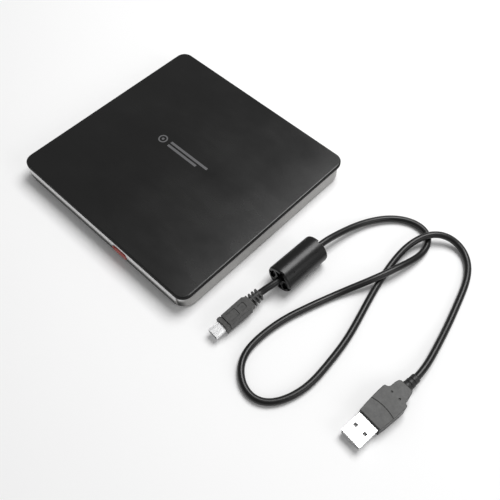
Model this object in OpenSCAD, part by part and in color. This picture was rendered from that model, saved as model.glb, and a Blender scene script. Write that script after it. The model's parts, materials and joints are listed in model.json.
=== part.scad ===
// Slim external optical disc drive with its USB cable.
// Millimetres, +Z up. The origin is the centre of the drive's footprint on the
// resting plane, the tray opens towards -Y, and +X is to the right seen from the front.

/* [Enclosure] */
// Width of the lid, left to right
body_w = 144; // [143.6:0.1:146]
// Depth of the lid, front to back
body_d = 137.5; // [137.3:0.1:140]
// Height from the resting plane to the top of the lid
body_h = 14; // [13.9:0.1:15]
// Radius of the lid's corners in plan
lid_corner_r = 6.7; // [5.6:0.1:8]
// Radius of the lower shell's corners in plan
shell_corner_r = 9; // [7:0.5:11]
// How far the lower shell stands in from the lid's edge
shell_inset = 0.4; // [0.3:0.05:0.6]
// Rounding along the lid's top edge
lid_edge_r = 0.9; // [0.4:0.1:1.2]
// Wall thickness of the lower shell
wall_t = 1.6; // [1.4:0.1:1.7]

/* [Tray front] */
// Width of the tray's front bezel
bezel_w = 131.6; // [130:0.2:131.8]
// Distance of the eject button's centre to the right of the middle
button_x = 18.7; // [12:0.1:24]
// Length of the eject button
button_l = 12; // [9:0.5:13]
// Height of the eject button
button_h = 4.4; // [3.6:0.1:4.8]
// Travel of the eject button
button_travel = 0.8; // [0.4:0.1:0.8]
// Distance of the emergency eject hole to the right of the middle
pinhole_x = 34.3; // [32:0.1:38]
// Radius of the emergency eject hole
pinhole_r = 0.6; // [0.5:0.05:0.7]

/* [Disc and pickup] */
// Radius of the round recess that holds a 120 mm disc
recess_r = 60.9; // [60.5:0.1:61.2]
// Radius of the hub that centres the disc
hub_r = 7.4; // [7.2:0.05:7.45]
// Angle of the pickup's path from straight ahead towards the left
traverse_angle = 44; // [43:0.5:45]
// Distance of the lens from the spindle when the pickup is parked
lens_rest = 23; // [23:0.5:24]
// How far the pickup travels outwards
sled_travel = 35; // [30:0.5:35]

/* [Cable] */
// Radius of the cable's jacket
cable_r = 2; // [1.6:0.05:2.1]
// Outer radius of the ferrite bead's housing
ferrite_r = 8.5; // [7.5:0.1:8.7]
// Length of the ferrite bead's housing
ferrite_l = 31; // [26:1:32]

/* [Hidden] */
$fn = 48;
tiny = 0.02;            // gap between pieces that touch
overlap = 0.1;          // how far a cutter runs past the face it cuts

// Enclosure
foot_h = 0.8;
shell_top = body_h - 3;
lid_z0 = shell_top + 0.4;
shell_w = body_w - 2 * shell_inset;
shell_d = body_d - 2 * shell_inset;
floor_top = foot_h + 1.1;
shell_edge_r = 1;
lid_wall = 1.6;
lid_roof = 1.4;
seam_x = bezel_w / 2 + 0.3;
screw_x = 67.2;
screw_ys = [-46, 52];
screw_r = 1;
screw_seat = 2.6;
foot_size = [100, 94];
foot_band = 4;
foot_corner_r = 12;

// Chassis of the inner drive
chassis_x = 64;
chassis_y0 = -66.4;
chassis_y1 = 57.4;
chassis_z0 = floor_top + 0.3;
sheet_t = 0.6;
chassis_floor = chassis_z0 + sheet_t;
chassis_mid_y = (chassis_y0 + chassis_y1) / 2;

// Rails
rail_z = 5.7;
rail_h = 3.1;
rail_x0 = 59.5;
rail_x1 = 62.35;
rail_y0 = -62;
rail_y1 = 56;
rail_gap = 0.1;

// Tray
spindle_y = -4.5;
tray_x = 62.8;
tray_y0 = -66.6;
tray_y1 = 55.8;
deck_z0 = 7.7;
deck_z1 = 8.9;
rim_z = 10.3;
tray_foot = 3.4;
side_x = 59.4;
button_z = 6.1;
pinhole_z = 5.4;

// Disc
disc_z = 9.3;

// Traverse, in its own frame: x runs out from the spindle, y across it
turn_to_traverse = -90 - traverse_angle;
rod_y = 12.8;
rod_z = 5.6;
rod_r = 1;
screw_y = 17.3;
frame_z0 = 3.6;
frame_z1 = 7.6;
frame_half = 18.5;
window_half = 14.8;
window_x0 = 15.6;
window_x1 = 66.4;
ear_z0 = 4.4;
ear_z1 = 5.6;

// Rear electronics
board_z = 3.2;
board_t = 1;
port_x = 4;
port_z = 6.15;
link_x = 36;

// Latch
latch_pivot = [49.5, -34];
post_at = [53.4, -46];
solenoid_z = 4.6;

// Cable
mini_end = [95.9, -32.2, 7.4];
mini_tilt = 5;
mini_yaw = 3.5;
mini_dir = [-sin(mini_yaw) * cos(mini_tilt), -cos(mini_yaw) * cos(mini_tilt), -sin(mini_tilt)];
ferrite_at = [98.7, -5, ferrite_r];
ferrite_yaw = 2.5;
usb_a_end = [186.6, -15.1, 4.1];
usb_a_yaw = 5.2;
// Point of the bead's axis, d in front of or behind its middle
function on_bead(d) = ferrite_at + d * [tan(ferrite_yaw), 1, 0];
// Row of the course: a corner and its bend radius
function corner(point, r) = [point[0], point[1], point[2], r];
cable_low = cable_r;
course = [
    corner(mini_end - 3 * mini_dir, 15),
    corner(on_bead(-17.8), 10),
    corner(on_bead(21.6), 42),
    [105.1, 46.4, 3.2, 49],
    [119.4, 65.2, cable_low, 21],
    [140.9, 70.1, cable_low, 10],
    [144, 51.5, 2.6, 18],
    [139.6, 26.7, 7.9, 59],
    [124.8, -2.7, cable_low, 59],
    [112.7, -37.9, cable_low, 60],
    [112.4, -67.9, cable_low, 16],
    [136.7, -84, cable_low, 12],
    [149.5, -55.9, cable_low, 26],
    [147.5, -22.2, cable_low, 80],
    [137, 22.6, cable_low, 80],
    [134.3, 49.8, 4.7, 39],
    [142.1, 67.8, 7.4, 17],
    [160.7, 74.4, 2.2, 14],
    [172.9, 55.8, cable_low, 25],
    [181.4, 24.7, cable_low, 80],
    corner(usb_a_end + 8 * [sin(usb_a_yaw), cos(usb_a_yaw), 0], 16)];

// ---------------------------------------------------------------- helpers

// Flat rectangle with round corners, centred
module round_rect(w, d, r) {
    square([w - 2 * r, d], center = true);
    square([w, d - 2 * r], center = true);
    for (x = [-1, 1], y = [-1, 1])
        translate([x * (w / 2 - r), y * (d / 2 - r)])
            circle(r);
}

// Upright plate with round corners, from z0 to z1
module plate(w, d, r, z0, z1) {
    translate([0, 0, z0])
        linear_extrude(z1 - z0)
            round_rect(w, d, r);
}

// Box from its two opposite corners
module block(low, high) {
    translate(low)
        cube(high - low);
}

// Upright cylinder from z0 to z1
module post(r, z0, z1) {
    translate([0, 0, z0])
        cylinder(r = r, h = z1 - z0);
}

// Cylinder along X from x0 to x1
module bar_x(r, x0, x1) {
    translate([x0, 0, 0])
        rotate([0, 90, 0])
            cylinder(r = r, h = x1 - x0);
}

// Cylinder along Y from y0 to y1
module bar_y(r, y0, y1) {
    translate([0, y0, 0])
        rotate([-90, 0, 0])
            cylinder(r = r, h = y1 - y0);
}

// Solid whose corners turn the child profile, drawn from x = 0 (the corner's centre)
// to x = r (the outside), and whose sides run the same profile straight
module edged_slab(w, d, r) {
    cx = w / 2 - r;
    cy = d / 2 - r;
    for (i = [0:3])
        translate([(i == 0 || i == 3 ? cx : -cx), (i < 2 ? cy : -cy), 0])
            rotate([0, 0, 90 * i])
                rotate_extrude(angle = 90)
                    children();
    for (side = [0, 1]) {
        mirror([side, 0, 0])
            translate([cx, 0, 0])
                rotate([90, 0, 0])
                    linear_extrude(2 * cy, center = true)
                        children();
        mirror([0, side, 0])
            translate([0, cy, 0])
                rotate([90, 0, 90])
                    linear_extrude(2 * cx, center = true)
                        children();
    }
}

// Points of a quarter circle about c, from angle a0 to angle a0 + 90
function quarter(c, r, a0, steps = 8) =
    [for (i = [0:steps]) c + r * [cos(a0 + 90 * i / steps), sin(a0 + 90 * i / steps)]];

// Capsule lying along X, extruded along Y from y0 to y1
module capsule_y(l, h, y0, y1) {
    translate([0, y1, 0])
        rotate([90, 0, 0])
            linear_extrude(y1 - y0) {
                square([l - h, h], center = true);
                for (s = [-1, 1])
                    translate([s * (l - h) / 2, 0])
                        circle(h / 2);
            }
}

// Puts children in the traverse's frame: x along the pickup's path, y across it
module traverse() {
    translate([0, spindle_y, 0])
        rotate([0, 0, turn_to_traverse])
            children();
}

// Room inside the tray that the traverse has to stay in
module tray_room(x_half, y_front) {
    block([-x_half, y_front, 0], [x_half, 60, 20]);
}

// Coil of round wire about Z: each half turn is a half ring, tilted to climb half the pitch
module coil(r, wire_r, pitch, turns) {
    slope = atan(pitch / 4 / r);
    for (i = [0:2 * turns - 1])
        translate([0, 0, pitch * (2 * i + 1) / 4])
            rotate([0, (i % 2 == 0 ? slope : -slope), 180 * (i % 2)])
                rotate_extrude(angle = 180)
                    translate([r, 0])
                        circle(wire_r, $fn = 16);
}

// ---------------------------------------------------------------- enclosure

module top_cover() {
    color([0.11, 0.11, 0.11])
        difference() {
            union() {
                difference() {
                    union() {
                        edged_slab(body_w, body_d, lid_corner_r)
                            polygon(concat(
                                [[0, lid_z0], [lid_corner_r, lid_z0]],
                                quarter([lid_corner_r - lid_edge_r, body_h - lid_edge_r], lid_edge_r, 0, 16),
                                [[0, body_h]]));
                        block([-body_w / 2 + lid_corner_r, -body_d / 2 + lid_corner_r, lid_z0],
                            [body_w / 2 - lid_corner_r, body_d / 2 - lid_corner_r, body_h]);
                    }
                    plate(body_w - 2 * lid_wall, body_d - 2 * lid_wall, lid_corner_r - lid_wall,
                        lid_z0 - overlap, body_h - lid_roof);
                }
                for (x = [-screw_x, screw_x], y = screw_ys)
                    translate([x, y, 0])
                        post(2.4, shell_top - 0.9, body_h - lid_roof + overlap);
            }
            for (x = [-screw_x, screw_x], y = screw_ys)
                translate([x, y, 0])
                    post(screw_r + tiny, lid_z0 - 2, body_h - 1);
        }
}

// Generic printed mark: a disc sign followed by three bars
module lid_emblem() {
    print_t = 0.05;
    color([0.45, 0.45, 0.47])
        translate([-22, 3.1, body_h])
            linear_extrude(print_t) {
                difference() {
                    circle(3.1);
                    circle(2.2);
                }
                circle(0.9);
                translate([6, 0.6])
                    square([32, 1.7]);
                translate([6, -2.3])
                    square([25, 1.7]);
            }
}

module shell_outline_profile() {
    r = shell_corner_r;
    polygon(concat(
        [[0, foot_h]],
        quarter([r - shell_edge_r, foot_h + shell_edge_r], shell_edge_r, -90, 16),
        [[r, shell_top], [0, shell_top]]));
}

module foot_groove(grow) {
    difference() {
        round_rect(foot_size[0] + 2 * grow, foot_size[1] + 2 * grow, foot_corner_r + grow);
        round_rect(foot_size[0] - 2 * foot_band - 2 * grow, foot_size[1] - 2 * foot_band - 2 * grow,
            foot_corner_r - foot_band - grow);
    }
}

module bottom_shell() {
    inner_w = shell_w - 2 * wall_t;
    inner_d = shell_d - 2 * wall_t;
    inner_r = shell_corner_r - wall_t;
    lip = 0.8;
    color([0.6, 0.6, 0.6])
        difference() {
            union() {
                difference() {
                    union() {
                        edged_slab(shell_w, shell_d, shell_corner_r)
                            shell_outline_profile();
                        block([-shell_w / 2 + shell_corner_r, -shell_d / 2 + shell_corner_r, foot_h],
                            [shell_w / 2 - shell_corner_r, shell_d / 2 - shell_corner_r, shell_top]);
                        plate(inner_w + 2 * lip, inner_d + 2 * lip, inner_r + lip, shell_top - 1, lid_z0);
                    }
                    plate(inner_w, inner_d, inner_r, floor_top, body_h);
                }
                // screw bosses
                for (x = [-screw_x, screw_x], y = screw_ys)
                    translate([x, y, 0])
                        post(2.8, floor_top - overlap, shell_top - 1);
                // strips that the inner drive lies on
                for (x = [-40, 40])
                    block([x - 2, -56, floor_top - overlap], [x + 2, 50, chassis_z0]);
                // posts under the bridge board, with pegs through it
                for (x = [-10, 58])
                    translate([x, 62.2, 0]) {
                        post(1.8, floor_top - overlap, board_z);
                        post(0.85, board_z - overlap, board_z + board_t + 0.5);
                    }
            }
            // opening for the tray's bezel
            block([-seam_x, -body_d / 2 - 2, floor_top], [seam_x, -body_d / 2 + 3.5, body_h]);
            for (x = [-screw_x, screw_x], y = screw_ys)
                translate([x, y, 0]) {
                    post(screw_r + 0.25, 0, body_h);
                    post(2.3, 0, screw_seat);
                }
            // opening for the USB plug
            translate([port_x, body_d / 2, port_z])
                rotate([90, 0, 0])
                    linear_extrude(8, center = true)
                        round_rect(8.4, 4.6, 0.8);
            translate([0, 0, foot_h - overlap])
                linear_extrude(0.4 + overlap)
                    foot_groove(0.05);
        }
}

module foot_ring() {
    color([0.08, 0.08, 0.08])
        linear_extrude(foot_h + 0.4 - tiny)
            foot_groove(0);
}

module case_screws() {
    head_r = 2;
    head_h = 1.2;
    color([0.5, 0.5, 0.52])
        for (x = [-screw_x, screw_x], y = screw_ys)
            translate([x, y, 0])
                difference() {
                    union() {
                        post(head_r, screw_seat - head_h, screw_seat - tiny);
                        post(screw_r, screw_seat - 0.2, lid_z0 + 1);
                    }
                    for (a = [0, 90])
                        rotate([0, 0, a])
                            block([-1.3, -0.25, 0], [1.3, 0.25, screw_seat - head_h + 0.6]);
                }
}

// ---------------------------------------------------------------- chassis of the drive

module chassis() {
    color([0.72, 0.73, 0.74])
        difference() {
            block([-chassis_x, chassis_y0, chassis_z0], [chassis_x, chassis_y1, shell_top]);
            block([-chassis_x + sheet_t, chassis_y0 - 1, chassis_floor],
                [chassis_x - sheet_t, chassis_y1 - sheet_t, shell_top + 1]);
            // opening in the rear wall for the connector
            block([link_x - 13, chassis_y1 - 1, 4.2], [link_x + 13, chassis_y1 + 1, 8.6]);
            // vents in the floor
            for (i = [-2:2])
                translate([-30 + 5 * i, 30, 0])
                    plate(2, 24, 0.9, 0, chassis_floor + 1);
        }
}

module chassis_cover() {
    tab_l = 60;
    color([0.75, 0.76, 0.77])
        difference() {
            union() {
                translate([0, chassis_mid_y, 0])
                    plate(2 * chassis_x, chassis_y1 - chassis_y0, 2, shell_top + tiny, shell_top + sheet_t);
                // side tabs that snap over the pan's walls
                for (s = [-1, 1])
                    block([(s > 0 ? chassis_x + 0.04 : -chassis_x - 0.44), -tab_l / 2, shell_top - 1.4],
                        [(s > 0 ? chassis_x + 0.44 : -chassis_x - 0.04), tab_l / 2, shell_top + sheet_t]);
                for (s = [-1, 1])
                    block([(s > 0 ? chassis_x - 1 : -chassis_x - 0.44), -tab_l / 2, shell_top + tiny],
                        [(s > 0 ? chassis_x + 0.44 : -chassis_x + 1), tab_l / 2, shell_top + sheet_t]);
            }
            // shallow round pressing over the disc
            translate([0, spindle_y, 0])
                difference() {
                    post(58, shell_top + sheet_t - 0.2, shell_top + 2);
                    post(16, shell_top, shell_top + 3);
                }
        }
}

// C-shaped guide on the chassis wall that the rail slides in
module rail_guide() {
    wall_x = chassis_x - sheet_t - tiny;
    lip_x = wall_x - 2.2;
    color([0.88, 0.88, 0.85])
        difference() {
            block([lip_x, rail_y0, rail_z - 2.4], [wall_x, rail_y1, rail_z + 2.4]);
            block([lip_x - 1, rail_y0 - 1, rail_z - rail_h / 2 - rail_gap],
                [rail_x1 + rail_gap, rail_y1 + 1, rail_z + rail_h / 2 + rail_gap]);
        }
}

module rail_guide_left() {
    mirror([1, 0, 0])
        rail_guide();
}

module rail_guide_right() {
    rail_guide();
}

module rail() {
    color([0.8, 0.81, 0.83])
        difference() {
            block([rail_x0, rail_y0, rail_z - rail_h / 2], [rail_x1, rail_y1, rail_z + rail_h / 2]);
            // slots that lighten the strip
            for (i = [0:5])
                block([rail_x0 - 1, rail_y0 + 8 + 18 * i, rail_z - 0.6],
                    [rail_x1 + 1, rail_y0 + 20 + 18 * i, rail_z + 0.6]);
        }
}

module rail_left() {
    mirror([1, 0, 0])
        rail();
}

module rail_right() {
    rail();
}

// Post on the chassis floor that the latch lever hooks behind
module latch_post() {
    color([0.7, 0.7, 0.72])
        translate([post_at[0], post_at[1], 0]) {
            post(1.2, chassis_floor + tiny, 5.4);
            post(1.9, chassis_floor + tiny, chassis_floor + 0.3);
        }
}

// Plug at the back of the inner drive
module drive_connector() {
    color([0.1, 0.1, 0.1]) {
        block([link_x - 12.9, chassis_y1 - sheet_t, 4.3], [link_x + 12.9, chassis_y1 + 1.4, 8.5]);
        block([link_x - 10, chassis_y1 + 1.3, 6.0], [link_x + 10, chassis_y1 + 3.6, 6.8]);
    }
}

// Flat cable folded under the tray: a lower run on the chassis floor, a fold, an upper run
module ribbon_cable() {
    x0 = 31;
    x1 = 45;
    t = 0.1;
    z_low = chassis_floor + 0.06;
    z_high = tray_foot - 0.1;
    fold_y = -24;
    mid = (z_low + z_high) / 2;
    r_out = (z_high - z_low) / 2;
    color([0.9, 0.9, 0.88]) {
        block([x0, fold_y, z_low], [x1, chassis_y1 - 0.8, z_low + t]);
        block([x0, fold_y, z_high - t], [x1, 46, z_high]);
        translate([x0, fold_y, mid])
            rotate([0, 90, 0])
                linear_extrude(x1 - x0)
                    difference() {
                        circle(r_out);
                        circle(r_out - t);
                        translate([-2, 0])
                            square([4, 2]);
                    }
    }
}

// ---------------------------------------------------------------- rear electronics

module bridge_board() {
    color([0.05, 0.3, 0.16])
        difference() {
            block([-14, 58, board_z + tiny], [62, 66.4, board_z + board_t]);
            for (x = [-10, 58])
                translate([x, 62.2, 0])
                    post(0.9, 0, 10);
        }
}

module bridge_components() {
    z0 = board_z + board_t + tiny;
    color([0.12, 0.12, 0.13]) {
        block([13, 59, z0], [20, 66, z0 + 1]);
        block([-7, 60, z0], [-2, 65, z0 + 1.3]);
        for (i = [0:3])
            block([50, 59 + 1.8 * i, z0], [51.6, 59.8 + 1.8 * i, z0 + 0.8]);
        for (i = [0:2])
            block([53.5, 59 + 2.3 * i, z0], [55.5, 60.2 + 2.3 * i, z0 + 0.9]);
    }
}

// Socket on the bridge board that takes the drive's plug
module board_connector() {
    z0 = board_z + board_t + tiny;
    color([0.13, 0.13, 0.14])
        difference() {
            block([link_x - 12, chassis_y1 + 1.6, z0], [link_x + 12, chassis_y1 + 5.2, 8.4]);
            block([link_x - 10.4, chassis_y1, 5.7], [link_x + 10.4, chassis_y1 + 4.2, 7.1]);
        }
}

// Section of a small trapezoid USB plug or socket, wide side up
module small_usb_section(w, h, cut) {
    polygon([[-w / 2, h / 2], [w / 2, h / 2], [w / 2, -h / 2 + cut],
        [w / 2 - cut, -h / 2], [-w / 2 + cut, -h / 2], [-w / 2, -h / 2 + cut]]);
}

module usb_port() {
    color([0.8, 0.8, 0.82])
        translate([port_x, 68.1, port_z])
            rotate([90, 0, 0])
                difference() {
                    linear_extrude(9.2)
                        small_usb_section(7.7, 3.86, 1.1);
                    translate([0, 0, -1])
                        linear_extrude(9.7)
                            small_usb_section(7.1, 3.26, 0.95);
                }
}

module usb_port_tongue() {
    color([0.1, 0.1, 0.1])
        translate([port_x, 0, port_z]) {
            block([-2.4, 60.2, -0.1], [2.4, 66.8, 0.7]);
            block([-3.4, 59.5, -0.1], [3.4, 60.2, 1.5]);
        }
}

// ---------------------------------------------------------------- tray

module traverse_window(x0, x1, half, z0, z1) {
    block([x0, -half, z0], [x1, half, z1]);
}

module tray() {
    rear_r = 6;
    color([0.16, 0.16, 0.17])
        difference() {
            union() {
                // upper plate with the disc's rim
                difference() {
                    block([-tray_x, tray_y0, deck_z1 - 0.4], [tray_x, tray_y1, rim_z]);
                    for (s = [-1, 1])
                        translate([s * (tray_x - rear_r), tray_y1 - rear_r, 0])
                            mirror([s < 0 ? 1 : 0, 0, 0])
                                difference() {
                                    block([0, 0, 0], [rear_r + 1, rear_r + 1, 20]);
                                    post(rear_r, -1, 21);
                                }
                }
                // deck between the rails
                block([-side_x - 1.4, tray_y0, deck_z0], [side_x + 1.4, 50, deck_z1]);
                // side walls with the channels for the rails
                for (s = [0, 1])
                    mirror([s, 0, 0]) {
                        block([side_x - 2, tray_y0, tray_foot], [side_x, 50, deck_z0 + 0.1]);
                        block([side_x - 0.1, tray_y0, rail_z + rail_h / 2 + rail_gap],
                            [side_x + 1.4, 50, deck_z0 + 0.1]);
                        block([side_x - 0.1, tray_y0, tray_foot],
                            [side_x + 1.4, 50, rail_z - rail_h / 2 - rail_gap]);
                    }
                // front wall
                block([-side_x, tray_y0, tray_foot], [side_x, tray_y0 + 1.4, deck_z0 + 0.1]);
                // posts that carry the main board
                for (p = [[46, -16], [34, 20], [-30, 44], [48.5, 36]])
                    translate([p[0], p[1], 0])
                        post(1.5, 4.4, deck_z0 + 0.1);
                // blocks that hold the ejector
                for (y = [36, 47.5])
                    block([-54.5, y, tray_foot + 0.2], [-48.5, y + 2.5, deck_z0 + 0.1]);
                // bosses for the traverse's screws
                at_bushes()
                    post(2.2, 6.22, deck_z0 + 0.1);
                // sleeve for the latch's pin
                translate([latch_pivot[0], latch_pivot[1], 0])
                    post(1.7, 6.4, deck_z0 + 0.1);
            }
            // recess for the disc
            translate([0, spindle_y, 0])
                post(recess_r, deck_z1, rim_z + 1);
            // window over the traverse
            intersection() {
                traverse()
                    traverse_window(-17.4, 68.8, 17.4, deck_z0 - 1, deck_z1 + 1);
                tray_room(57.2, -64.7);
            }
            at_bushes()
                post(screw_r + tiny, 6, deck_z1 - 0.3);
            // room for the eject button and its switch
            block([button_x - 7.4, tray_y0 - 1, 2.9], [button_x + 7.4, -64.1, 9.2]);
            // way in for the emergency eject pin
            translate([pinhole_x, 0, pinhole_z])
                bar_y(0.9, tray_y0 - 1, tray_y0 + 3);
            // holes for the ejector and the latch pin
            translate([-51.5, 0, rail_z])
                bar_y(1.3, 30, 55);
            translate([latch_pivot[0], latch_pivot[1], 0])
                post(0.9 + tiny, 5, deck_z0 + 0.6);
        }
}

// Front of the tray: a face with a ridge along its middle
module tray_bezel() {
    back = tray_y0 - tiny;
    z_low = floor_top + 0.3;
    z_top = shell_top - 0.1;
    color([0.6, 0.6, 0.6])
        difference() {
            translate([-bezel_w / 2, 0, 0])
                rotate([90, 0, 90])
                    linear_extrude(bezel_w)
                        polygon([[back, z_low], [-68.35, z_low], [-68.85, 6.3],
                            [-68.2, z_top], [back, z_top]]);
            translate([button_x, 0, button_z])
                capsule_y(button_l + 0.3, button_h + 0.3, -70, -60);
            translate([pinhole_x, 0, pinhole_z])
                bar_y(pinhole_r, -70, -60);
        }
}

module eject_button() {
    front = -69.15;
    flange_y = tray_y0 + tiny + 0.06;
    color([0.72, 0.16, 0.12])
        translate([button_x, 0, button_z])
            difference() {
                union() {
                    capsule_y(button_l, button_h, front, flange_y + 0.1);
                    capsule_y(button_l + 1.8, button_h + 1.4, flange_y, flange_y + 0.6);
                }
                // finger scoop
                translate([0, front - 2.2, 0.5])
                    bar_x(2.7, -button_l / 2 + 1.3, button_l / 2 - 1.3);
            }
}

module eject_switch() {
    color([0.1, 0.1, 0.1]) {
        block([button_x - 3, -65.1, 4.9], [button_x + 3, -64.2, 7.3]);
        block([button_x - 4, -64.25, 4.3], [button_x + 4, -63.2, deck_z0 - tiny]);
    }
}

module mechanism_cover() {
    z0 = frame_z1 + tiny;
    z1 = z0 + 0.4;
    color([0.7, 0.71, 0.72])
        difference() {
            intersection() {
                traverse()
                    traverse_window(-17.2, 68.6, 17.2, z0, z1);
                tray_room(57, -64.5);
            }
            traverse() {
                post(14.6, 0, 20);
                // slot that the lens looks through
                block([lens_rest - 5, -9.2, 0], [64.5, 9.2, 20]);
            }
        }
}

module main_board() {
    color([0.05, 0.3, 0.16])
        union() {
            block([28, -22, 3.5], [51.8, 26, 4.3]);
            block([-44, 25, 3.5], [51.8, 49, 4.3]);
        }
}

module board_chips() {
    z0 = 4.3 + tiny;
    color([0.1, 0.1, 0.11]) {
        block([-20, 30, z0], [-6, 44, z0 + 1.2]);
        block([6, 30, z0], [15, 40, z0 + 1]);
        block([36, -8, z0], [44, 0, z0 + 1]);
        block([30, 44.5, z0], [46, 48, z0 + 1.1]);
        for (i = [0:5])
            block([-40 + 2.6 * i, 27, z0], [-38.6 + 2.6 * i, 28.2, z0 + 0.7]);
        for (i = [0:4])
            block([31, 4 + 2.4 * i, z0], [33, 5.2 + 2.4 * i, z0 + 0.7]);
    }
}

module ejector_plunger() {
    color([0.85, 0.85, 0.82])
        translate([-51.5, 0, rail_z]) {
            bar_y(1.2, 35, 56.5);
            bar_y(2, 45.6, 46.6);
        }
}

module ejector_spring() {
    color([0.75, 0.75, 0.77])
        translate([-51.5, 38.8, rail_z])
            rotate([-90, 0, 0])
                coil(1.7, 0.2, 1.3, 5);
}

module eject_solenoid() {
    color([0.3, 0.3, 0.33])
        difference() {
            block([36, -32, 3.7], [46, -26, 7.3]);
            translate([41, 0, solenoid_z])
                bar_y(0.85, -33, -27.5);
        }
}

module solenoid_plunger() {
    color([0.8, 0.8, 0.82])
        translate([41, 0, solenoid_z])
            bar_y(0.8, -35.8, -28);
}

module latch_pivot_pin() {
    color([0.8, 0.8, 0.82])
        translate([latch_pivot[0], latch_pivot[1], 0]) {
            post(0.9, 3.7, deck_z0 + 0.5);
            post(1.6, 3.5, 3.8);
        }
}

// Lever turned clear of its post; it swings anticlockwise to catch it
module latch_lever() {
    z0 = 3.9;
    z1 = 4.9;
    color([0.83, 0.83, 0.8])
        translate([latch_pivot[0], latch_pivot[1], 0])
            difference() {
                union() {
                    post(2.2, z0, z1);
                    // arm that the emergency pin and the solenoid work on
                    block([-16.7, -4.6, z0], [0, -2, z1]);
                    block([-1.6, -4.6, z0], [1.6, 0, z1]);
                    block([-16.7, -4.6, z0], [-13.7, -2.8, 6.2]);
                    // arm with the hook
                    block([-1.6, -10.4, z0], [0.4, -3, z1]);
                    block([-1.6, -10.4, z0], [2.2, -9, z1]);
                }
                post(0.9 + 0.06, 0, 10);
            }
}

module latch_spring() {
    color([0.75, 0.75, 0.77])
        translate([latch_pivot[0], latch_pivot[1], 5.1])
            coil(1.35, 0.16, 0.4, 3);
}

// ---------------------------------------------------------------- traverse and spindle

// Puts children at each of the frame's rubber bushes
module at_bushes() {
    traverse()
        for (p = [[-21.5, -10], [-21.5, 10], [46, -22.5], [46, 24.6]])
            translate([p[0], p[1], 0])
                children();
}

module traverse_frame() {
    color([0.35, 0.36, 0.38])
        difference() {
            union() {
                intersection() {
                    traverse()
                        union() {
                            traverse_window(-17, 68.4, frame_half, frame_z0, frame_z1);
                            block([2, 0, frame_z0], [63, 20.6, frame_z1]);
                        }
                    tray_room(57.3, -64.7);
                }
                // ears for the rubber bushes
                at_bushes()
                    post(3.6, ear_z0, ear_z1);
                traverse() {
                    for (s = [-1, 1])
                        block([-21.5, 10 * s - 3.4, ear_z0], [-16, 10 * s + 3.4, ear_z1]);
                    block([42.6, -22.5, ear_z0], [49.4, -18, ear_z1]);
                    block([42.6, 20, ear_z0], [49.4, 24.6, ear_z1]);
                }
            }
            traverse() {
                // window that the pickup runs in, with a bay for the lead screw
                traverse_window(window_x0, window_x1, window_half, 0, 20);
                block([window_x0, 0, 0], [61, 19.4, 20]);
                // seat of the spindle motor
                post(13.2, 0, 20);
                // seat of the sled motor
                block([3.6, 14.2, 0], [13.6, 21, 20]);
                for (s = [-1, 1])
                    translate([0, s * rod_y, rod_z])
                        bar_x(rod_r + tiny, 13.6, 67.4);
                translate([0, screw_y, rod_z]) {
                    bar_x(1.3, 13, 16);
                    bar_x(0.75, 60, 62.6);
                }
            }
            at_bushes()
                post(2, 0, 20);
        }
}

module damper_bushes() {
    color([0.07, 0.07, 0.07])
        at_bushes()
            rotate_extrude()
                polygon([[1.2, 3.92], [2.9, 3.92], [2.9, ear_z0 - tiny], [1.95, ear_z0 - tiny],
                    [1.95, ear_z1 + tiny], [2.9, ear_z1 + tiny], [2.9, 6.18], [1.2, 6.18]]);
}

module traverse_screws() {
    color([0.6, 0.6, 0.62])
        at_bushes() {
            post(2.2, 3.3, 3.9);
            post(screw_r, 3.8, deck_z1 - 0.5);
        }
}

module guide_rod(y) {
    color([0.82, 0.83, 0.85])
        traverse()
            translate([0, y, rod_z])
                bar_x(rod_r, 13.8, 67.2);
}

module guide_rod_main() {
    guide_rod(rod_y);
}

module guide_rod_aux() {
    guide_rod(-rod_y);
}

// Flat-sided stepping motor that turns the lead screw
module sled_motor() {
    color([0.65, 0.65, 0.67])
        traverse()
            translate([0, screw_y, rod_z])
                difference() {
                    intersection() {
                        bar_x(3, 3.7, 13.5);
                        block([0, -4, -1.9], [20, 4, 1.9]);
                    }
                    bar_x(0.75, 11, 14);
                }
}

module spindle_stator() {
    poles = 9;
    color([0.7, 0.45, 0.25])
        translate([0, spindle_y, 0])
            difference() {
                union() {
                    post(14.6, frame_z0 - 0.4, frame_z0 - tiny);
                    post(12.9, frame_z0 - 0.1, 4.2);
                    post(2.4, 4.1, 6.4);
                    post(5, 4.9, 6.2);
                    for (i = [0:poles - 1])
                        rotate([0, 0, i * 360 / poles]) {
                            block([4, -0.7, 4.9], [11.1, 0.7, 6.2]);
                            block([5.6, -1.5, 4.75], [9.4, 1.5, 6.35]);
                        }
                }
                post(1.06, 3.9, 10);
            }
}

module spindle_rotor() {
    color([0.6, 0.6, 0.62])
        translate([0, spindle_y, 0]) {
            difference() {
                post(12.2, 4.6, 7.3);
                post(11.6, 4, 6.7);
            }
            post(1, 4.3, 7);
        }
}

module turntable() {
    color([0.12, 0.12, 0.12])
        translate([0, spindle_y, 0])
            difference() {
                rotate_extrude()
                    polygon([[0, 7.3 + tiny], [3, 7.3 + tiny], [3, deck_z0 + 0.2], [13.9, deck_z0 + 0.2],
                        [13.9, disc_z - 0.4], [9.3, disc_z - 0.4], [9.3, disc_z - 0.1], [hub_r, disc_z - 0.1],
                        [hub_r, disc_z + 1], [hub_r - 0.9, disc_z + 1.5], [0, disc_z + 1.5]]);
                for (i = [0:2])
                    rotate([0, 0, 120 * i])
                        block([4.6, -1.3, disc_z - 0.05], [8, 1.3, disc_z + 0.9]);
            }
}

module disc_pad() {
    color([0.2, 0.2, 0.2])
        translate([0, spindle_y, 0])
            difference() {
                post(13.6, disc_z - 0.4 + tiny, disc_z);
                post(9.6, 0, 20);
            }
}

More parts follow.
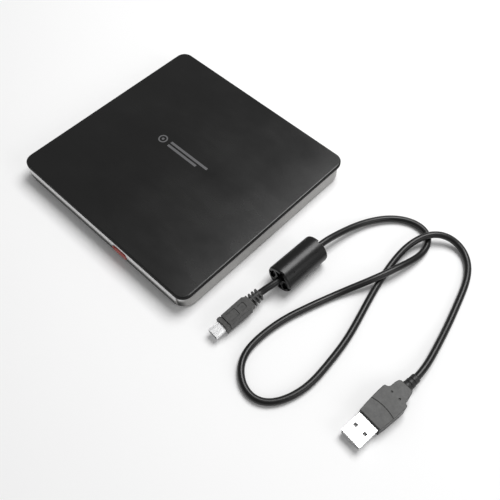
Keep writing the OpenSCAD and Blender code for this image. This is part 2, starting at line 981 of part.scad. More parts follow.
module hub_claws() {
    color([0.85, 0.85, 0.82])
        translate([0, spindle_y, 0])
            for (i = [0:2])
                rotate([0, 0, 120 * i])
                    intersection() {
                        block([4.7, -1.2, disc_z - 0.05 + tiny], [8, 1.2, disc_z + 0.8]);
                        post(hub_r - 0.02, 0, 20);
                    }
}

// ---------------------------------------------------------------- pickup

// Puts children at the parked lens, in the traverse's frame
module at_lens() {
    traverse()
        translate([lens_rest, 0, 0])
            children();
}

module pickup_body() {
    color([0.3, 0.31, 0.33])
        at_lens()
            difference() {
                union() {
                    block([-6.5, -10.6, 3.8], [7.3, 10.6, 7.2]);
                    translate([0, rod_y, rod_z])
                        bar_x(1.9, -0.6, 6);
                    translate([0, -rod_y, rod_z])
                        bar_x(1.9, -3, 3);
                    block([-0.6, 10, 4.6], [6, rod_y, 6.6]);
                    block([-3, -rod_y, 4.6], [3, -10, 6.6]);
                }
                translate([0, rod_y, rod_z])
                    bar_x(rod_r + 0.06, -10, 10);
                translate([0, -rod_y, rod_z]) {
                    bar_x(rod_r + 0.06, -10, 10);
                    block([-10, -4, -0.9], [10, 0, 0.9]);
                }
                // well for the lens actuator
                block([-5, -7.8, 5.4], [5, 7.8, 8]);
                // bore for the laser
                translate([5.9, 0, 5])
                    bar_y(1, -11, -8);
                // notch for the arm of the nut
                block([-5.6, 8.4, 3], [-1, 11, 4.6]);
            }
}

module laser_diode() {
    color([0.85, 0.7, 0.35])
        at_lens()
            translate([5.9, 0, 5])
                bar_y(0.97, -10.9, -8.1);
}

module actuator_base() {
    color([0.7, 0.7, 0.72])
        at_lens() {
            block([-4.9, -7.6, 5.4 + tiny], [4.9, 7.6, 5.9]);
            for (s = [-1, 1])
                block([s * 4.45 - 0.4, -4, 5.8], [s * 4.45 + 0.4, 4, 7.2]);
        }
}

module sled_nut() {
    color([0.85, 0.85, 0.82])
        at_lens()
            difference() {
                union() {
                    block([-5.5, 8.5, 3.85], [-1.1, 18.9, 4.5]);
                    block([-5.5, 15.5, 3.85], [-1.1, 18.9, 7.1]);
                }
                translate([0, screw_y, rod_z])
                    bar_x(1.18, -10, 10);
            }
}

module lens_holder() {
    color([0.15, 0.15, 0.16])
        at_lens()
            difference() {
                union() {
                    block([-3.6, -5, 6.4], [3.6, 5, 7.6]);
                    post(2.7, 7.5, 8.3);
                }
                post(1.7, 6, 9);
            }
}

module objective_lens() {
    dome_r = 2.4;
    color([0.75, 0.85, 0.95])
        at_lens()
            intersection() {
                translate([0, 0, 8.6 - dome_r])
                    sphere(dome_r, $fn = 128);
                post(1.68, 7.4, 9, $fn = 128);
            }
}

module lead_screw() {
    pitch = 3;
    groove = 0.2;
    starts = 15;
    color([0.78, 0.78, 0.8])
        traverse()
            translate([0, screw_y, rod_z]) {
                difference() {
                    bar_x(1.1, 13.9, 60);
                    for (i = [0:starts - 1])
                        translate([15 + i * pitch, 0, 0])
                            rotate([0, 90, 0])
                                rotate_extrude()
                                    polygon([[1.1 - groove, 0], [1.3, -0.4], [1.3, 0.4]]);
                }
                bar_x(0.7, 11.3, 14);
                bar_x(0.7, 59.9, 62.3);
            }
}

// ---------------------------------------------------------------- cable

function unit(v) = v / norm(v);
function xyz(c) = [c[0], c[1], c[2]];
// Where the cable starts, a little way inside the small plug
mini_start = mini_end + 2 * mini_dir;
function corner_points() = concat([mini_start], [for (c = course) xyz(c)], [usb_a_end]);
// Half the bend angle at corner i of the course, and the length that the bend takes from each side
function half_bend(p, i) =
    acos(unit(p[i] - p[i - 1]) * unit(p[i + 1] - p[i])) / 2;
function tangent_length(p, i) =
    (i == 0 || i == len(p) - 1) ? 0 : course[i - 1][3] * tan(half_bend(p, i));

// Straight round rod between two points
module rod_between(a, b, r) {
    d = b - a;
    translate(a)
        rotate([0, acos(d[2] / norm(d)), atan2(d[1], d[0])])
            cylinder(r = r, h = norm(d));
}

// Bend of radius bend_r that starts at point a with heading u and ends with heading v
module bend(a, u, v, bend_r, r) {
    angle = acos(u * v);
    inward = unit(v - (u * v) * u);
    axis = cross(u, inward);
    centre = a + bend_r * inward;
    multmatrix([
        [-inward[0], u[0], axis[0], centre[0]],
        [-inward[1], u[1], axis[1], centre[1]],
        [-inward[2], u[2], axis[2], centre[2]],
        [0, 0, 0, 1]])
        rotate_extrude(angle = angle, $fn = 96)
            translate([bend_r, 0])
                circle(r, $fn = 24);
}

module cable_jacket() {
    p = corner_points();
    n = len(p);
    // straight lengths are a hair thinner and run a little way into the bends
    shy = 0.015;
    run_in = 0.3;
    color([0.1, 0.1, 0.1]) {
        for (i = [0:n - 2]) {
            u = unit(p[i + 1] - p[i]);
            rod_between(p[i] + u * (tangent_length(p, i) - (i > 0 ? run_in : 0)),
                p[i + 1] - u * (tangent_length(p, i + 1) - (i < n - 2 ? run_in : 0)), cable_r - shy);
        }
        for (i = [1:n - 2]) {
            u = unit(p[i] - p[i - 1]);
            v = unit(p[i + 1] - p[i]);
            bend(p[i] - u * tangent_length(p, i), u, v, course[i - 1][3], cable_r);
        }
    }
}

// Puts children at the middle of the bead, with z along the cable
module at_bead() {
    translate(ferrite_at)
        rotate([0, 0, -ferrite_yaw])
            rotate([-90, 0, 0])
                children();
}

module ferrite_housing() {
    half = ferrite_l / 2;
    wall = 1.2;
    lean = 12;
    color([0.09, 0.09, 0.09])
        at_bead()
            difference() {
                rotate_extrude($fn = 96)
                    polygon(concat(
                        [[cable_r + 0.05, -half], [ferrite_r - 1.2, -half]],
                        quarter([ferrite_r - 1.2, -half + 1.2], 1.2, -90, 6),
                        quarter([ferrite_r - 1.2, half - 1.2], 1.2, 0, 6),
                        [[ferrite_r - 1.2, half], [cable_r + 0.05, half]]));
                // chamber for the core
                difference() {
                    post(ferrite_r - wall, -half + 2.8, half - 2.8);
                    post(3.2, -half, half);
                }
                for (side = [0, 1])
                    mirror([0, 0, side]) {
                        // ring-shaped pocket in the end face, with a cross of ribs left in it
                        difference() {
                            post(ferrite_r - 1.9, -half - 1, -half + 1.6);
                            post(3.1, -half - 2, -half + 2);
                            for (i = [0:1])
                                rotate([0, 0, 45 + 90 * i + lean])
                                    block([-ferrite_r, -0.6, -half - 2], [ferrite_r, 0.6, -half + 2]);
                        }
                        // notches through the rim, where the two half shells meet and beside them
                        for (i = [0:1])
                            rotate([0, 0, 90 * i + lean])
                                difference() {
                                    block([-ferrite_r - 1, -1.1, -half - 1], [ferrite_r + 1, 1.1, -half + 1.3]);
                                    post(3.4, -half - 2, -half + 2);
                                }
                    }
                // small marks of the mould on the upper side
                for (z = [-9, 9])
                    translate([0, 0, z])
                        rotate([0, 90, -55])
                            post(0.55, ferrite_r - 0.35, ferrite_r + 1);
            }
}

module ferrite_core() {
    half = ferrite_l / 2 - 3;
    color([0.25, 0.25, 0.26])
        at_bead()
            difference() {
                post(ferrite_r - 1.3, -half, half);
                post(3.3, -20, 20);
            }
}

// Puts children at the back of the USB-A plug, +x towards its tip, z up
module at_usb_a() {
    translate(usb_a_end)
        rotate([0, 0, -90 - usb_a_yaw])
            children();
}

// One side of the grip's plan: tapered to the shell, with a scooped notch before the narrow neck
function usb_a_side(s) = concat(
    [[33.2, 6.8 * s], [28, 7.3 * s], [23, 7.65 * s], [19, 7.8 * s], [15.4, 7.8 * s], [14.6, 7.6 * s]],
    [for (a = [0:15:90]) [12 + 2.1 * cos(a), (7.3 - 2.1 * sin(a)) * s]],
    [[9, 5 * s], [7.4, 4.6 * s], [6.6, 4.1 * s], [6.3, 3.4 * s]]);

// Plan of the USB-A plug's grip
module usb_a_plan() {
    near = usb_a_side(-1);
    last = len(near) - 1;
    polygon(concat(usb_a_side(1), [for (i = [0:last]) near[last - i]]));
}

module usb_a_overmold() {
    half_h = 4.1;
    color([0.24, 0.24, 0.24])
        at_usb_a()
            difference() {
                union() {
                    translate([0, 0, -half_h])
                        linear_extrude(2 * half_h)
                            usb_a_plan();
                    // ringed strain relief
                    rotate([0, 90, 0])
                        rotate_extrude()
                            polygon([[0, -2.4], [2.5, -2.4], [2.7, -2], [2.7, 0.5], [2.45, 0.7],
                                [2.45, 1.2], [2.9, 1.4], [2.9, 3.1], [2.6, 3.3], [2.6, 3.8],
                                [3.1, 4], [3.15, 8], [0, 8]]);
                }
                bar_x(cable_r + tiny, -4, 1);
                // socket for the root of the shell
                block([27, -6, -2.25], [36, 6, 2.25]);
                // fine curved line across the grip
                translate([47, 0, half_h - 0.2])
                    difference() {
                        post(24, 0, 2);
                        post(23.75, -1, 3);
                        block([-20, -40, -2], [40, 40, 4]);
                    }
                for (s = [-1, 1])
                    translate([14.4, s * 2.6, half_h - 0.4])
                        post(0.5, 0, 1);
            }
}

module usb_a_shell() {
    w = 12;
    h = 4.5;
    t = 0.3;
    x0 = 27.1;
    x1 = 46.6;
    color([0.9, 0.9, 0.9])
        at_usb_a()
            difference() {
                block([x0, -w / 2 + tiny, -h / 2 + tiny], [x1, w / 2 - tiny, h / 2 - tiny]);
                block([x0 + 0.4, -w / 2 + t, -h / 2 + t], [x1 + 1, w / 2 - t, h / 2 - t]);
                for (s = [-1, 1])
                    block([38.6, s * 3.1 - 1.15, -4], [40.9, s * 3.1 + 1.15, 4]);
            }
}

module usb_a_tongue() {
    color([0.92, 0.92, 0.92])
        at_usb_a()
            block([27.6, -5.6, -1.9], [45.6, 5.6, 0]);
}

// Puts children at the back of the small plug, +x towards its tip, z up
module at_mini_b() {
    translate(mini_end)
        rotate([0, 0, -90 - mini_yaw])
            rotate([0, mini_tilt, 0])
                children();
}

module mini_b_overmold() {
    half_h = 3.1;
    color([0.33, 0.33, 0.33])
        at_mini_b()
            difference() {
                union() {
                    // body, with its rear corners cut and a slight taper to the front
                    translate([0, 0, -half_h])
                        linear_extrude(2 * half_h)
                            polygon([[9.9, 3.5], [11, 4.3], [26.1, 4.15], [26.1, -4.15],
                                [11, -4.3], [9.9, -3.5]]);
                    // front flange with an ear at each side, behind a groove
                    block([25, -3.8, -2.6], [27.4, 3.8, 2.6]);
                    translate([26.8, 0, -half_h + 0.1])
                        linear_extrude(2 * half_h - 0.2)
                            polygon([[0, 4.15], [1.5, 4.35], [2.5, 4.05], [2.1, 3.4], [2.1, -3.4],
                                [2.5, -4.05], [1.5, -4.35], [0, -4.15]]);
                    // neck: a spine with three ribs each side, and a plate against the body
                    block([1.5, -0.75, -2.6], [9, 0.75, 2.6]);
                    bar_x(2.3, 1.5, 9);
                    for (i = [0:2])
                        translate([1.7 + 2.25 * i, 0, 0])
                            block([0, -3.1 - 0.1 * i, -2.4 - 0.1 * i], [1.05, 3.1 + 0.1 * i, 2.4 + 0.1 * i]);
                    block([8.4, -3.5, -2.75], [10.4, 3.5, 2.75]);
                }
                bar_x(cable_r + tiny, -1, 3);
                // socket for the shell
                block([24, -3.45, -1.55], [31, 3.45, 1.55]);
                // two shallow panels on the upper face
                translate([14.4, 0, half_h - 0.25])
                    linear_extrude(1)
                        round_rect(4.2, 4, 0.6);
                translate([21.3, 0, half_h - 0.25])
                    linear_extrude(1)
                        round_rect(6.6, 5, 0.8);
            }
}

module mini_b_shell() {
    color([0.9, 0.9, 0.9])
        at_mini_b()
            translate([24.1, 0, 0])
                rotate([90, 0, 90])
                    difference() {
                        linear_extrude(11.9)
                            small_usb_section(6.8, 3, 0.9);
                        translate([0, 0, 0.4])
                            linear_extrude(13)
                                small_usb_section(6.3, 2.5, 0.8);
                    }
}

module mini_b_tongue() {
    color([0.1, 0.1, 0.1])
        at_mini_b()
            block([24.6, -2.2, -0.5], [35.4, 2.2, 0.4]);
}

// ---------------------------------------------------------------- nodes

top_cover();
lid_emblem();
bottom_shell();
foot_ring();
case_screws();
chassis();
chassis_cover();
rail_guide_left();
rail_guide_right();
drive_connector();
bridge_board();
bridge_components();
board_connector();
usb_port();
usb_port_tongue();
latch_post();
ribbon_cable();
rail_left();
rail_right();
tray();
tray_bezel();
mechanism_cover();
main_board();
board_chips();
traverse_frame();
damper_bushes();
traverse_screws();
guide_rod_main();
guide_rod_aux();
sled_motor();
spindle_stator();
eject_solenoid();
solenoid_plunger();
latch_pivot_pin();
latch_spring();
eject_switch();
ejector_plunger();
ejector_spring();
eject_button();
latch_lever();
spindle_rotor();
turntable();
disc_pad();
hub_claws();
pickup_body();
laser_diode();
actuator_base();
sled_nut();
lens_holder();
objective_lens();
lead_screw();
cable_jacket();
ferrite_housing();
ferrite_core();
usb_a_overmold();
usb_a_shell();
usb_a_tongue();
mini_b_overmold();
mini_b_shell();
mini_b_tongue();
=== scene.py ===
"""Looks for a slim external optical drive and its loose USB cable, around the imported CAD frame."""

import json
import math

import bpy
import numpy as np
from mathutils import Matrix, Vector
from mathutils.bvhtree import BVHTree


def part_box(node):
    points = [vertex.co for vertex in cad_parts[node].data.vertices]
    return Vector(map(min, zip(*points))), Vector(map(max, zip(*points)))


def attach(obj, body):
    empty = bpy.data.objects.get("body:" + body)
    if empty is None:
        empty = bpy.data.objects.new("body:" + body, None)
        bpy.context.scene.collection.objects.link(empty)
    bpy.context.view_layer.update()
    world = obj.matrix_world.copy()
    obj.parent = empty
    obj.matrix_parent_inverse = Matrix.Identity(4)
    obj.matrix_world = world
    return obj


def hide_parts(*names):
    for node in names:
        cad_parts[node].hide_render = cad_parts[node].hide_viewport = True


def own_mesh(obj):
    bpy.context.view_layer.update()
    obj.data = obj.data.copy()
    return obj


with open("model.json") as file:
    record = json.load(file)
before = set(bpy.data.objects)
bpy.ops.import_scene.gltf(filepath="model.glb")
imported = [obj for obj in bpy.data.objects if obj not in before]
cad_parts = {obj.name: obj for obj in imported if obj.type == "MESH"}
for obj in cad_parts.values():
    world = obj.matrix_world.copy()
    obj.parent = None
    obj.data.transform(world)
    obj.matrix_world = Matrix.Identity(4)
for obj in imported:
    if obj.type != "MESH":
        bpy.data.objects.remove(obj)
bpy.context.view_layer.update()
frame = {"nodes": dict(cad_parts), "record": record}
nodes = frame["nodes"]
MM = 0.001

# ---------------------------------------------------------------- materials


class Shader:
    """Small helper that builds a material's node tree from left to right."""

    def __init__(self, name):
        self.mat = bpy.data.materials.new(name)
        self.mat.use_nodes = True
        self.tree = self.mat.node_tree
        self.bsdf = self.tree.nodes["Principled BSDF"]
        coords = self.tree.nodes.new("ShaderNodeTexCoord")
        self.coords = coords.outputs["Object"]

    def node(self, kind, **inputs):
        """A new node with its inputs set; an underscore in a name stands for a space."""
        made = self.tree.nodes.new(kind)
        for key, value in inputs.items():
            self.set(made.inputs[key.replace("_", " ")], value)
        return made

    def set(self, socket, value):
        if isinstance(value, bpy.types.NodeSocket):
            self.tree.links.new(value, socket)
        else:
            socket.default_value = value

    def stretched(self, scale):
        mapping = self.node("ShaderNodeMapping", Vector=self.coords)
        mapping.inputs["Scale"].default_value = scale
        return mapping.outputs["Vector"]

    def noise(self, scale, detail=3.0, roughness=0.55, vector=None):
        made = self.node("ShaderNodeTexNoise", Scale=scale, Detail=detail, Roughness=roughness)
        self.set(made.inputs["Vector"], self.coords if vector is None else vector)
        return made.outputs["Fac"]

    def ramp(self, value, low, high, out_low, out_high):
        made = self.node("ShaderNodeMapRange", Value=value)
        made.inputs["From Min"].default_value = low
        made.inputs["From Max"].default_value = high
        made.inputs["To Min"].default_value = out_low
        made.inputs["To Max"].default_value = out_high
        return made.outputs["Result"]

    def mix(self, factor, a, b):
        made = self.tree.nodes.new("ShaderNodeMix")
        made.data_type = "RGBA"
        self.set(made.inputs["Factor"], factor)
        self.set(made.inputs["A"], a)
        self.set(made.inputs["B"], b)
        return made.outputs["Result"]

    def math(self, operation, a, b):
        made = self.tree.nodes.new("ShaderNodeMath")
        made.operation = operation
        self.set(made.inputs[0], a)
        self.set(made.inputs[1], b)
        return made.outputs["Value"]

    def geometry(self, what, axis):
        made = self.tree.nodes.new("ShaderNodeNewGeometry")
        return self.node("ShaderNodeSeparateXYZ", Vector=made.outputs[what]).outputs[axis]

    def side(self, axis):
        """One component of the surface's own direction in the frame."""
        return self.geometry("Normal", axis)

    def place(self, axis):
        """One coordinate of the shaded point in the frame, in metres."""
        return self.geometry("Position", axis)

    def recess(self, distance, low=0.35, high=0.95):
        """0 deep in a gap or groove, 1 on open surface; distance is the reach in metres."""
        made = self.node("ShaderNodeAmbientOcclusion", Distance=distance)
        made.samples = 8
        return self.ramp(made.outputs["AO"], low, high, 0, 1)

    def bump(self, height, strength, distance, edge=0.0):
        """Fine relief; edge is the radius, in metres, by which the light is carried round sharp edges."""
        made = self.node("ShaderNodeBump", Strength=strength, Distance=distance, Height=height)
        if edge:
            soft = self.node("ShaderNodeBevel", Radius=edge)
            soft.samples = 6
            self.set(made.inputs["Normal"], soft.outputs["Normal"])
        self.set(self.bsdf.inputs["Normal"], made.outputs["Normal"])

    def finish(self, **inputs):
        for key, value in inputs.items():
            self.set(self.bsdf.inputs[key.replace("_", " ")], value)
        return self.mat


def grey(v):
    return (v, v, v, 1)


# painted shade: the colour given to the bottom of a groove and other hollows
GROOVE_PAINTED_SHADE = 0.004


def moulded(name, color, dark, rough, grain=1400, grain_depth=0.04 * MM, spec=0.5, gap=0.0):
    """Moulded plastic or vinyl: a fine grain, a slow drift of tone, and worn, smoother patches.

    Noise scales such as grain are counted per metre; gap is the reach of the painted shade in its grooves.
    """
    s = Shader(name)
    drift = s.noise(38, 4)
    fine = s.noise(grain, 2)
    tone = s.mix(s.ramp(drift, 0.3, 0.7, 0, 1), (*color, 1), (*dark, 1))
    # painted shade in grooves and close to other surfaces
    if gap:
        tone = s.mix(s.recess(gap), grey(GROOVE_PAINTED_SHADE), tone)
    roughness = s.math("ADD", s.ramp(drift, 0.25, 0.75, rough - 0.05, rough + 0.06),
                       s.ramp(fine, 0.3, 0.7, -0.02, 0.03))
    s.bump(fine, 0.35, grain_depth)
    return s.finish(Base_Color=tone, Roughness=roughness, Specular_IOR_Level=spec)


def metal(name, color, rough, stretch=(1, 1, 1), brushed=0.06, scale=900):
    """Bare or plated metal with fine streaks along the axis that stretch leaves small."""
    s = Shader(name)
    streak = s.noise(scale, 3, vector=s.stretched(stretch))
    drift = s.noise(60, 3)
    tone = s.mix(s.ramp(drift, 0.3, 0.7, 0, 1), (*color, 1), (*[c * 0.86 for c in color], 1))
    s.bump(streak, 0.25, 0.01 * MM)
    return s.finish(Base_Color=tone, Metallic=1.0,
                    Roughness=s.ramp(streak, 0.3, 0.7, rough - brushed, rough + brushed))


def lid_material():
    """Satin black lid: very fine grain, faint wiping marks, a few soft smudges, and a matt side band with
    painted shade.
    """
    s = Shader("lid_plastic")
    fine = s.noise(2600, 2)
    wipes = s.noise(16, 5, 0.6, s.stretched((1.0, 3.2, 1.0)))
    smudge = s.noise(34, 3, 0.5)
    top_vs_shaded_side = s.ramp(s.side("Z"), 0.35, 0.8, 0, 1)
    tone = s.mix(s.ramp(smudge, 0.45, 0.75, 0, 1), (0.0034, 0.0034, 0.0033, 1), (0.0048, 0.0048, 0.0046, 1))
    # painted shade: the lid's sides are coloured darker than its top
    tone = s.mix(top_vs_shaded_side, grey(0.0018), tone)
    rough = s.math("ADD", s.ramp(wipes, 0.3, 0.7, 0.22, 0.28), s.ramp(smudge, 0.4, 0.7, -0.015, 0.02))
    rough = s.math("ADD", rough, s.ramp(top_vs_shaded_side, 0, 1, 0.3, 0))
    s.bump(fine, 0.3, 0.02 * MM, 0.3 * MM)
    return s.finish(Base_Color=tone, Roughness=rough, Specular_IOR_Level=s.ramp(top_vs_shaded_side, 0, 1, 0.12, 0.5))


# heights between which the front's painted shade below ends and its painted highlight above begins
FRONT_PAINTED_SHADE = (4.8 * MM, 7.2 * MM)
FRONT_PAINTED_HIGHLIGHT = (6.6 * MM, 7.8 * MM)


def painted_material():
    """Silver-grey painted moulding with a fine metallic fleck; the front gets painted shade below and a
    painted highlight above.
    """
    s = Shader("shell_plastic")
    fleck = s.noise(5200, 1)
    drift = s.noise(45, 3)
    tone = s.mix(s.ramp(fleck, 0.42, 0.62, 0, 1), (0.30, 0.295, 0.287, 1), (0.40, 0.394, 0.385, 1))
    front = s.ramp(s.side("Y"), -0.85, -0.6, 1, 0)
    # painted shade on the front's lower part and a painted highlight on its upper part
    low = s.math("MULTIPLY", front, s.ramp(s.place("Z"), *FRONT_PAINTED_SHADE, 1, 0))
    high = s.math("MULTIPLY", front, s.ramp(s.place("Z"), *FRONT_PAINTED_HIGHLIGHT, 0, 1))
    # grey(0.05) is the painted shade, grey(0.85) the painted highlight
    tone = s.mix(low, tone, grey(0.05))
    tone = s.mix(high, tone, grey(0.85))
    s.bump(s.noise(1800, 2), 0.25, 0.02 * MM, 0.5 * MM)
    return s.finish(Base_Color=tone, Metallic=s.ramp(fleck, 0.45, 0.6, 0.15, 0.4),
                    Roughness=s.ramp(drift, 0.3, 0.7, 0.42, 0.5))


# the CAD node that each grip's finish belongs to
GRIPS = {"plug_vinyl": "usb_a_overmold", "plug_vinyl_grey": "mini_b_overmold"}


def grip_material(name, color, dark, root, root_length, edge):
    """Mottled vinyl of a plug's grip, with painted shade in its grooves.

    root is the tone of the strain relief, which takes up root_length at the cable's end.
    """
    s = Shader(name)
    drift = s.noise(38, 4)
    blotch = s.noise(420, 5, 0.7)
    fine = s.noise(1300, 2)
    tone = s.mix(s.ramp(blotch, 0.35, 0.65, 0, 1), (*color, 1), (*dark, 1))
    # painted shade in the grooves of the grip
    tone = s.mix(s.recess(1.6 * MM), grey(GROOVE_PAINTED_SHADE), tone)
    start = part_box(GRIPS[name])[1].y - root_length
    tone = s.mix(s.ramp(s.place("Y"), start, start + 0.4 * MM, 0, 1), tone, grey(root))
    s.bump(fine, 0.35, 0.06 * MM, edge)
    return s.finish(Base_Color=tone, Roughness=s.ramp(drift, 0.3, 0.7, 0.44, 0.52))


def board_material():
    """Green solder mask with a faint weave and slightly paler tracks."""
    s = Shader("board_green")
    tracks = s.noise(420, 1, vector=s.stretched((1, 8, 1)))
    tone = s.mix(s.ramp(tracks, 0.5, 0.54, 0, 1), (0.012, 0.10, 0.045, 1), (0.03, 0.19, 0.08, 1))
    s.bump(tracks, 0.2, 0.02 * MM)
    return s.finish(Base_Color=tone, Roughness=s.ramp(s.noise(90), 0.3, 0.7, 0.28, 0.36))


def glass_material():
    """Coated lens glass with a faint blue to violet tint."""
    s = Shader("lens_glass")
    tint = s.mix(s.ramp(s.noise(900), 0.3, 0.7, 0, 1), (0.55, 0.72, 0.95, 1), (0.65, 0.6, 0.95, 1))
    return s.finish(Base_Color=tint, Roughness=0.03, Transmission_Weight=0.75, IOR=1.5, Coat_Weight=0.6)


def button_material():
    """Translucent red moulding."""
    s = Shader("button_red")
    drift = s.noise(260, 3)
    tone = s.mix(s.ramp(drift, 0.3, 0.7, 0, 1), (0.36, 0.03, 0.018, 1), (0.43, 0.045, 0.026, 1))
    s.bump(s.noise(2200, 2), 0.2, 0.02 * MM, 0.3 * MM)
    return s.finish(Base_Color=tone, Roughness=0.32, Coat_Weight=0.25, Subsurface_Weight=0.12,
                    Subsurface_Scale=1.0 * MM)


materials = {
    "lid_plastic": lid_material(),
    "printed_mark": moulded("printed_mark", (0.11, 0.11, 0.113), (0.085, 0.085, 0.09), 0.45),
    "shell_plastic": painted_material(),
    "black_rubber": moulded("black_rubber", (0.018, 0.018, 0.018), (0.024, 0.024, 0.024), 0.7, 900),
    "screw_steel": metal("screw_steel", (0.5, 0.5, 0.52), 0.34),
    "sheet_steel": metal("sheet_steel", (0.58, 0.59, 0.6), 0.34, (1, 0.04, 1)),
    "guide_plastic": moulded("guide_plastic", (0.72, 0.71, 0.66), (0.66, 0.65, 0.6), 0.42),
    "black_plastic": moulded("black_plastic", (0.014, 0.014, 0.015), (0.02, 0.02, 0.02), 0.42),
    "board_green": board_material(),
    "chip_black": moulded("chip_black", (0.012, 0.012, 0.013), (0.02, 0.02, 0.021), 0.5, 2600),
    "plated_steel": metal("plated_steel", (0.93, 0.93, 0.935), 0.28, (1, 0.05, 1), 0.05),
    "ribbon_white": moulded("ribbon_white", (0.7, 0.7, 0.67), (0.62, 0.62, 0.6), 0.35, 700),
    "rail_steel": metal("rail_steel", (0.6, 0.61, 0.63), 0.3, (1, 0.04, 1)),
    "tray_plastic": moulded("tray_plastic", (0.010, 0.010, 0.011), (0.015, 0.015, 0.016), 0.5, 1500,
                            0.06 * MM),
    "die_cast": metal("die_cast", (0.3, 0.31, 0.33), 0.48, brushed=0.08, scale=1500),
    "rod_steel": metal("rod_steel", (0.72, 0.72, 0.74), 0.22),
    "stator_copper": metal("stator_copper", (0.62, 0.33, 0.16), 0.36, scale=2400),
    "spring_steel": metal("spring_steel", (0.55, 0.55, 0.57), 0.3),
    "button_red": button_material(),
    "diode_brass": metal("diode_brass", (0.78, 0.56, 0.22), 0.25),
    "lens_glass": glass_material(),
    # painted shade on the cable within 1.2 mm of other surfaces, such as the floor and its own crossings
    "cable_vinyl": moulded("cable_vinyl", (0.003, 0.003, 0.003), (0.0042, 0.0042, 0.0042), 0.33, 1600,
                           spec=0.4, gap=1.2 * MM),
    "ferrite_ceramic": moulded("ferrite_ceramic", (0.03, 0.03, 0.032), (0.045, 0.045, 0.046), 0.6, 1800),
    "plug_vinyl": grip_material("plug_vinyl", (0.022, 0.022, 0.021), (0.052, 0.052, 0.050), 0.006,
                                8.7 * MM, 0.5 * MM),
    "white_plastic": moulded("white_plastic", (0.8, 0.8, 0.79), (0.74, 0.74, 0.73), 0.4),
    "plug_vinyl_grey": grip_material("plug_vinyl_grey", (0.030, 0.030, 0.029), (0.062, 0.061, 0.059), 0.022,
                                     6.8 * MM, 0.4 * MM),
}

slot_of = {p["node"]: p["material_slot"] for p in frame["record"]["subparts"]}
for name, obj in nodes.items():
    obj.data.materials.clear()
    obj.data.materials.append(materials[slot_of[name]])

# ---------------------------------------------------------------- cable

CABLE_STEP = 1.0 * MM
CABLE_SIDES = 28
# rays that feel for the wall round each point, and the most points that a course may have
FEELERS = 12
MOST_STEPS = 2000
# a little over the cable's width, which gathers the corners of its end
END_REACH = 4.1 * MM
# shortest wave kept by the easing, as an angle per step, in plan and in height
PLAN_WAVE = 0.17
HEIGHT_WAVE = 0.5
# how firmly the course stays put inside the bead and the plugs
HELD_WEIGHT = 2000
UP = Vector((0, 0, 1))


def across(direction, hint):
    """Two unit vectors square to a direction, the first as near to hint as it can be."""
    first = (hint - direction * hint.dot(direction)).normalized()
    return first, direction.cross(first)


def feel_along(tree, start, direction):
    """Points along the middle of a tube, found from inside by feeling for its wall, up to its end cap."""
    turns = [2 * math.pi * k / FEELERS for k in range(FEELERS)]
    points = []
    here = start
    while len(points) < MOST_STEPS:
        cap = tree.ray_cast(here, direction, 1.5 * CABLE_STEP)[0]
        if cap is not None:
            return points + [cap]
        ahead = here + direction * CABLE_STEP
        side, up = across(direction, UP)
        walls = [tree.ray_cast(ahead, side * math.cos(t) + up * math.sin(t))[0] for t in turns]
        if None in walls:
            break
        middle = sum(walls, Vector()) / FEELERS
        direction = (middle - here).normalized()
        here = middle
        points.append(here)
    return []


def cad_course():
    """The middle line of the CAD cable from plug to plug, or None if it can't be felt."""
    jacket = nodes["cable_jacket"].data
    faces = [tuple(face.vertices) for face in jacket.polygons]
    tree = BVHTree.FromPolygons([v.co for v in jacket.vertices], faces)
    low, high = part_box("mini_b_overmold")
    plug = (low + high) / 2
    tip = min((v.co for v in jacket.vertices), key=lambda co: (co - plug).length)
    near = [v.co for v in jacket.vertices if (v.co - tip).length < END_REACH]
    start = sum(near, Vector()) / len(near)
    away = (start - plug).normalized()
    back = feel_along(tree, start, -away)
    onward = feel_along(tree, start, away)
    if not back or not onward:
        return None
    return np.array(back[::-1] + [start] + onward)


def eased(values, wave, weights):
    """Least third differences: keeps every wave longer than the given one and smooths what is shorter."""
    count = len(values)
    third = np.zeros((count - 3, count))
    for row in range(count - 3):
        third[row, row:row + 4] = (-1, 3, -3, 1)
    return np.linalg.solve(np.diag(weights) + third.T @ third / wave ** 6, weights * values)


def inside(points, node):
    """Which points lie in a CAD node's box."""
    low, high = (np.array(corner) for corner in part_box(node))
    return np.all((points > low) & (points < high), axis=1)


def tube(name, course, radius, sides):
    """A closed tube of quads along a course, turned without twist from ring to ring."""
    ahead = np.gradient(course, axis=0)
    hint = UP
    verts = []
    for point, tangent in zip(course, ahead):
        direction = Vector(tangent).normalized()
        hint, up = across(direction, hint)
        for k in range(sides):
            turn = 2 * math.pi * k / sides
            verts.append(Vector(point) + radius * (hint * math.cos(turn) + up * math.sin(turn)))
    last = sides * (len(course) - 1)
    faces = []
    for ring in range(0, last, sides):
        for k in range(sides):
            after = (k + 1) % sides
            faces.append((ring + k, ring + after, ring + sides + after, ring + sides + k))
    smooth = [True] * len(faces) + [False, False]
    faces += [tuple(range(sides))[::-1], tuple(range(last, last + sides))]
    mesh = bpy.data.meshes.new(name)
    mesh.from_pydata(verts, [], faces)
    mesh.polygons.foreach_set("use_smooth", smooth)
    made = bpy.data.objects.new(name, mesh)
    bpy.context.scene.collection.objects.link(made)
    return made


def soft_cable():
    """The cable as one even curve on the CAD cable's course, in the place of its arcs and straights."""
    course = cad_course()
    if course is None:
        return
    held = np.zeros(len(course), bool)
    for node in ("ferrite_housing", "usb_a_overmold", "mini_b_overmold"):
        held |= inside(course, node)
    weights = np.where(held, HELD_WEIGHT, 1.0)
    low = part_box("cable_jacket")[0].z
    radius = float(course[:, 2].min()) - low
    waves = (PLAN_WAVE, PLAN_WAVE, HEIGHT_WAVE)
    smooth = np.column_stack([eased(course[:, axis], wave, weights) for axis, wave in enumerate(waves)])
    smooth[:, 2] = np.maximum(smooth[:, 2], low + radius)
    cable = tube("cable_soft", smooth, radius, CABLE_SIDES)
    cable.data.materials.append(materials["cable_vinyl"])
    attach(cable, "usb_cable")
    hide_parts("cable_jacket")


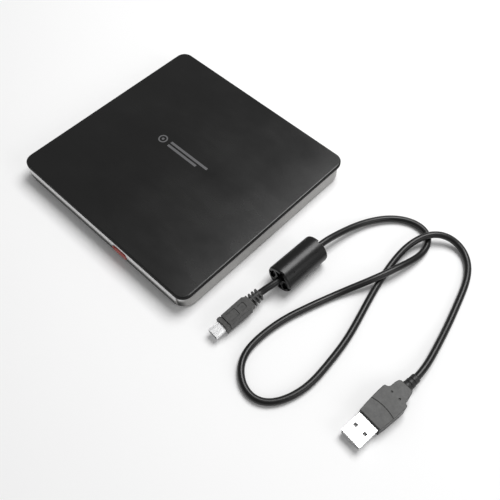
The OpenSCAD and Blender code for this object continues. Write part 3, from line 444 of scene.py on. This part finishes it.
def wound_spring():
    """The ejector's spring as one wound wire, carried along with the tray."""
    wire = 0.2 * MM
    coils = 6
    steps = 24 * coils
    low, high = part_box("ejector_spring")
    middle = (low + high) / 2
    reach = (high.x - low.x) / 2 - wire
    course = []
    for step in range(steps + 1):
        turn = 2 * math.pi * coils * step / steps
        along = low.y + wire + (high.y - low.y - 2 * wire) * step / steps
        course.append((middle.x + reach * math.cos(turn), along, middle.z + reach * math.sin(turn)))
    spring = tube("ejector_spring_wire", np.array(course), wire, 10)
    spring.data.materials.append(materials["spring_steel"])
    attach(spring, "tray")
    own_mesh(spring)
    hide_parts("ejector_spring")


soft_cable()
wound_spring()

# ---------------------------------------------------------------- stage, light, camera


def stage_floor():
    """Pale paper that fades into the backdrop far from the object."""
    s = Shader("stage_paper")
    tone = s.mix(s.noise(5, 3), grey(0.93), grey(0.96))
    away = s.node("ShaderNodeVectorMath", Vector=s.coords)
    away.operation = "LENGTH"
    mat = s.finish(Base_Color=tone, Roughness=0.8, Emission_Color=grey(1),
                   Emission_Strength=s.ramp(away.outputs["Value"], 0.35, 1.6, 0, 0.8))
    mesh = bpy.data.meshes.new("stage_floor")
    half = 3.0
    below = -0.05 * MM
    corners = [(-half, -half, 0), (half, -half, 0), (half, half, 0), (-half, half, 0)]
    mesh.from_pydata(corners, [], [(0, 1, 2, 3)])
    floor = bpy.data.objects.new("stage_floor", mesh)
    floor.location = (0, 0, below)
    mesh.materials.append(mat)
    bpy.context.scene.collection.objects.link(floor)


def area_light(name, place, aim, size, power):
    """A square white light at place, size metres on a side, turned to aim."""
    data = bpy.data.lights.new(name, "AREA")
    data.shape = "SQUARE"
    data.size = size
    data.energy = power
    light = bpy.data.objects.new(name, data)
    light.location = place
    light.rotation_euler = (Vector(aim) - Vector(place)).to_track_quat("-Z", "Y").to_euler()
    bpy.context.scene.collection.objects.link(light)


def world_light(strength, seen):
    """Even light from all round; the camera sees it paler than it shines."""
    world = bpy.data.worlds.new("studio")
    world.use_nodes = True
    tree = world.node_tree
    path = tree.nodes.new("ShaderNodeLightPath")
    level = tree.nodes.new("ShaderNodeMapRange")
    level.inputs["To Min"].default_value = strength
    level.inputs["To Max"].default_value = seen
    tree.links.new(path.outputs["Is Camera Ray"], level.inputs["Value"])
    tree.nodes["Background"].inputs["Color"].default_value = grey(1)
    tree.links.new(level.outputs["Result"], tree.nodes["Background"].inputs["Strength"])
    bpy.context.scene.world = world


def camera():
    """A camera at the photograph's viewing angle, aimed between the drive and its cable."""
    azimuth = math.radians(43.61)
    elevation = math.radians(56.98)
    distance = 381.4 * MM
    target = Vector((72.08, -16.41, 7.0)) * MM
    back = Vector((math.sin(azimuth) * math.cos(elevation), -math.cos(azimuth) * math.cos(elevation),
                   math.sin(elevation)))
    data = bpy.data.cameras.new("camera")
    data.sensor_width = 36
    data.lens = 47.88
    data.clip_start = 0.01
    cam = bpy.data.objects.new("camera", data)
    cam.location = target + back * distance
    cam.rotation_euler = (-back).to_track_quat("-Z", "Y").to_euler()
    bpy.context.scene.collection.objects.link(cam)
    bpy.context.scene.camera = cam


stage_floor()
bpy.context.scene.view_settings.view_transform = "Standard"
world_light(0.3, 0.9)
area_light("key", (0.07, 0.45, 0.95), (0.07, 0, 0), 0.6, 9.5)
area_light("fill", (0.95, 0.1, 0.5), (0.07, 0, 0), 0.5, 1.6)
camera()
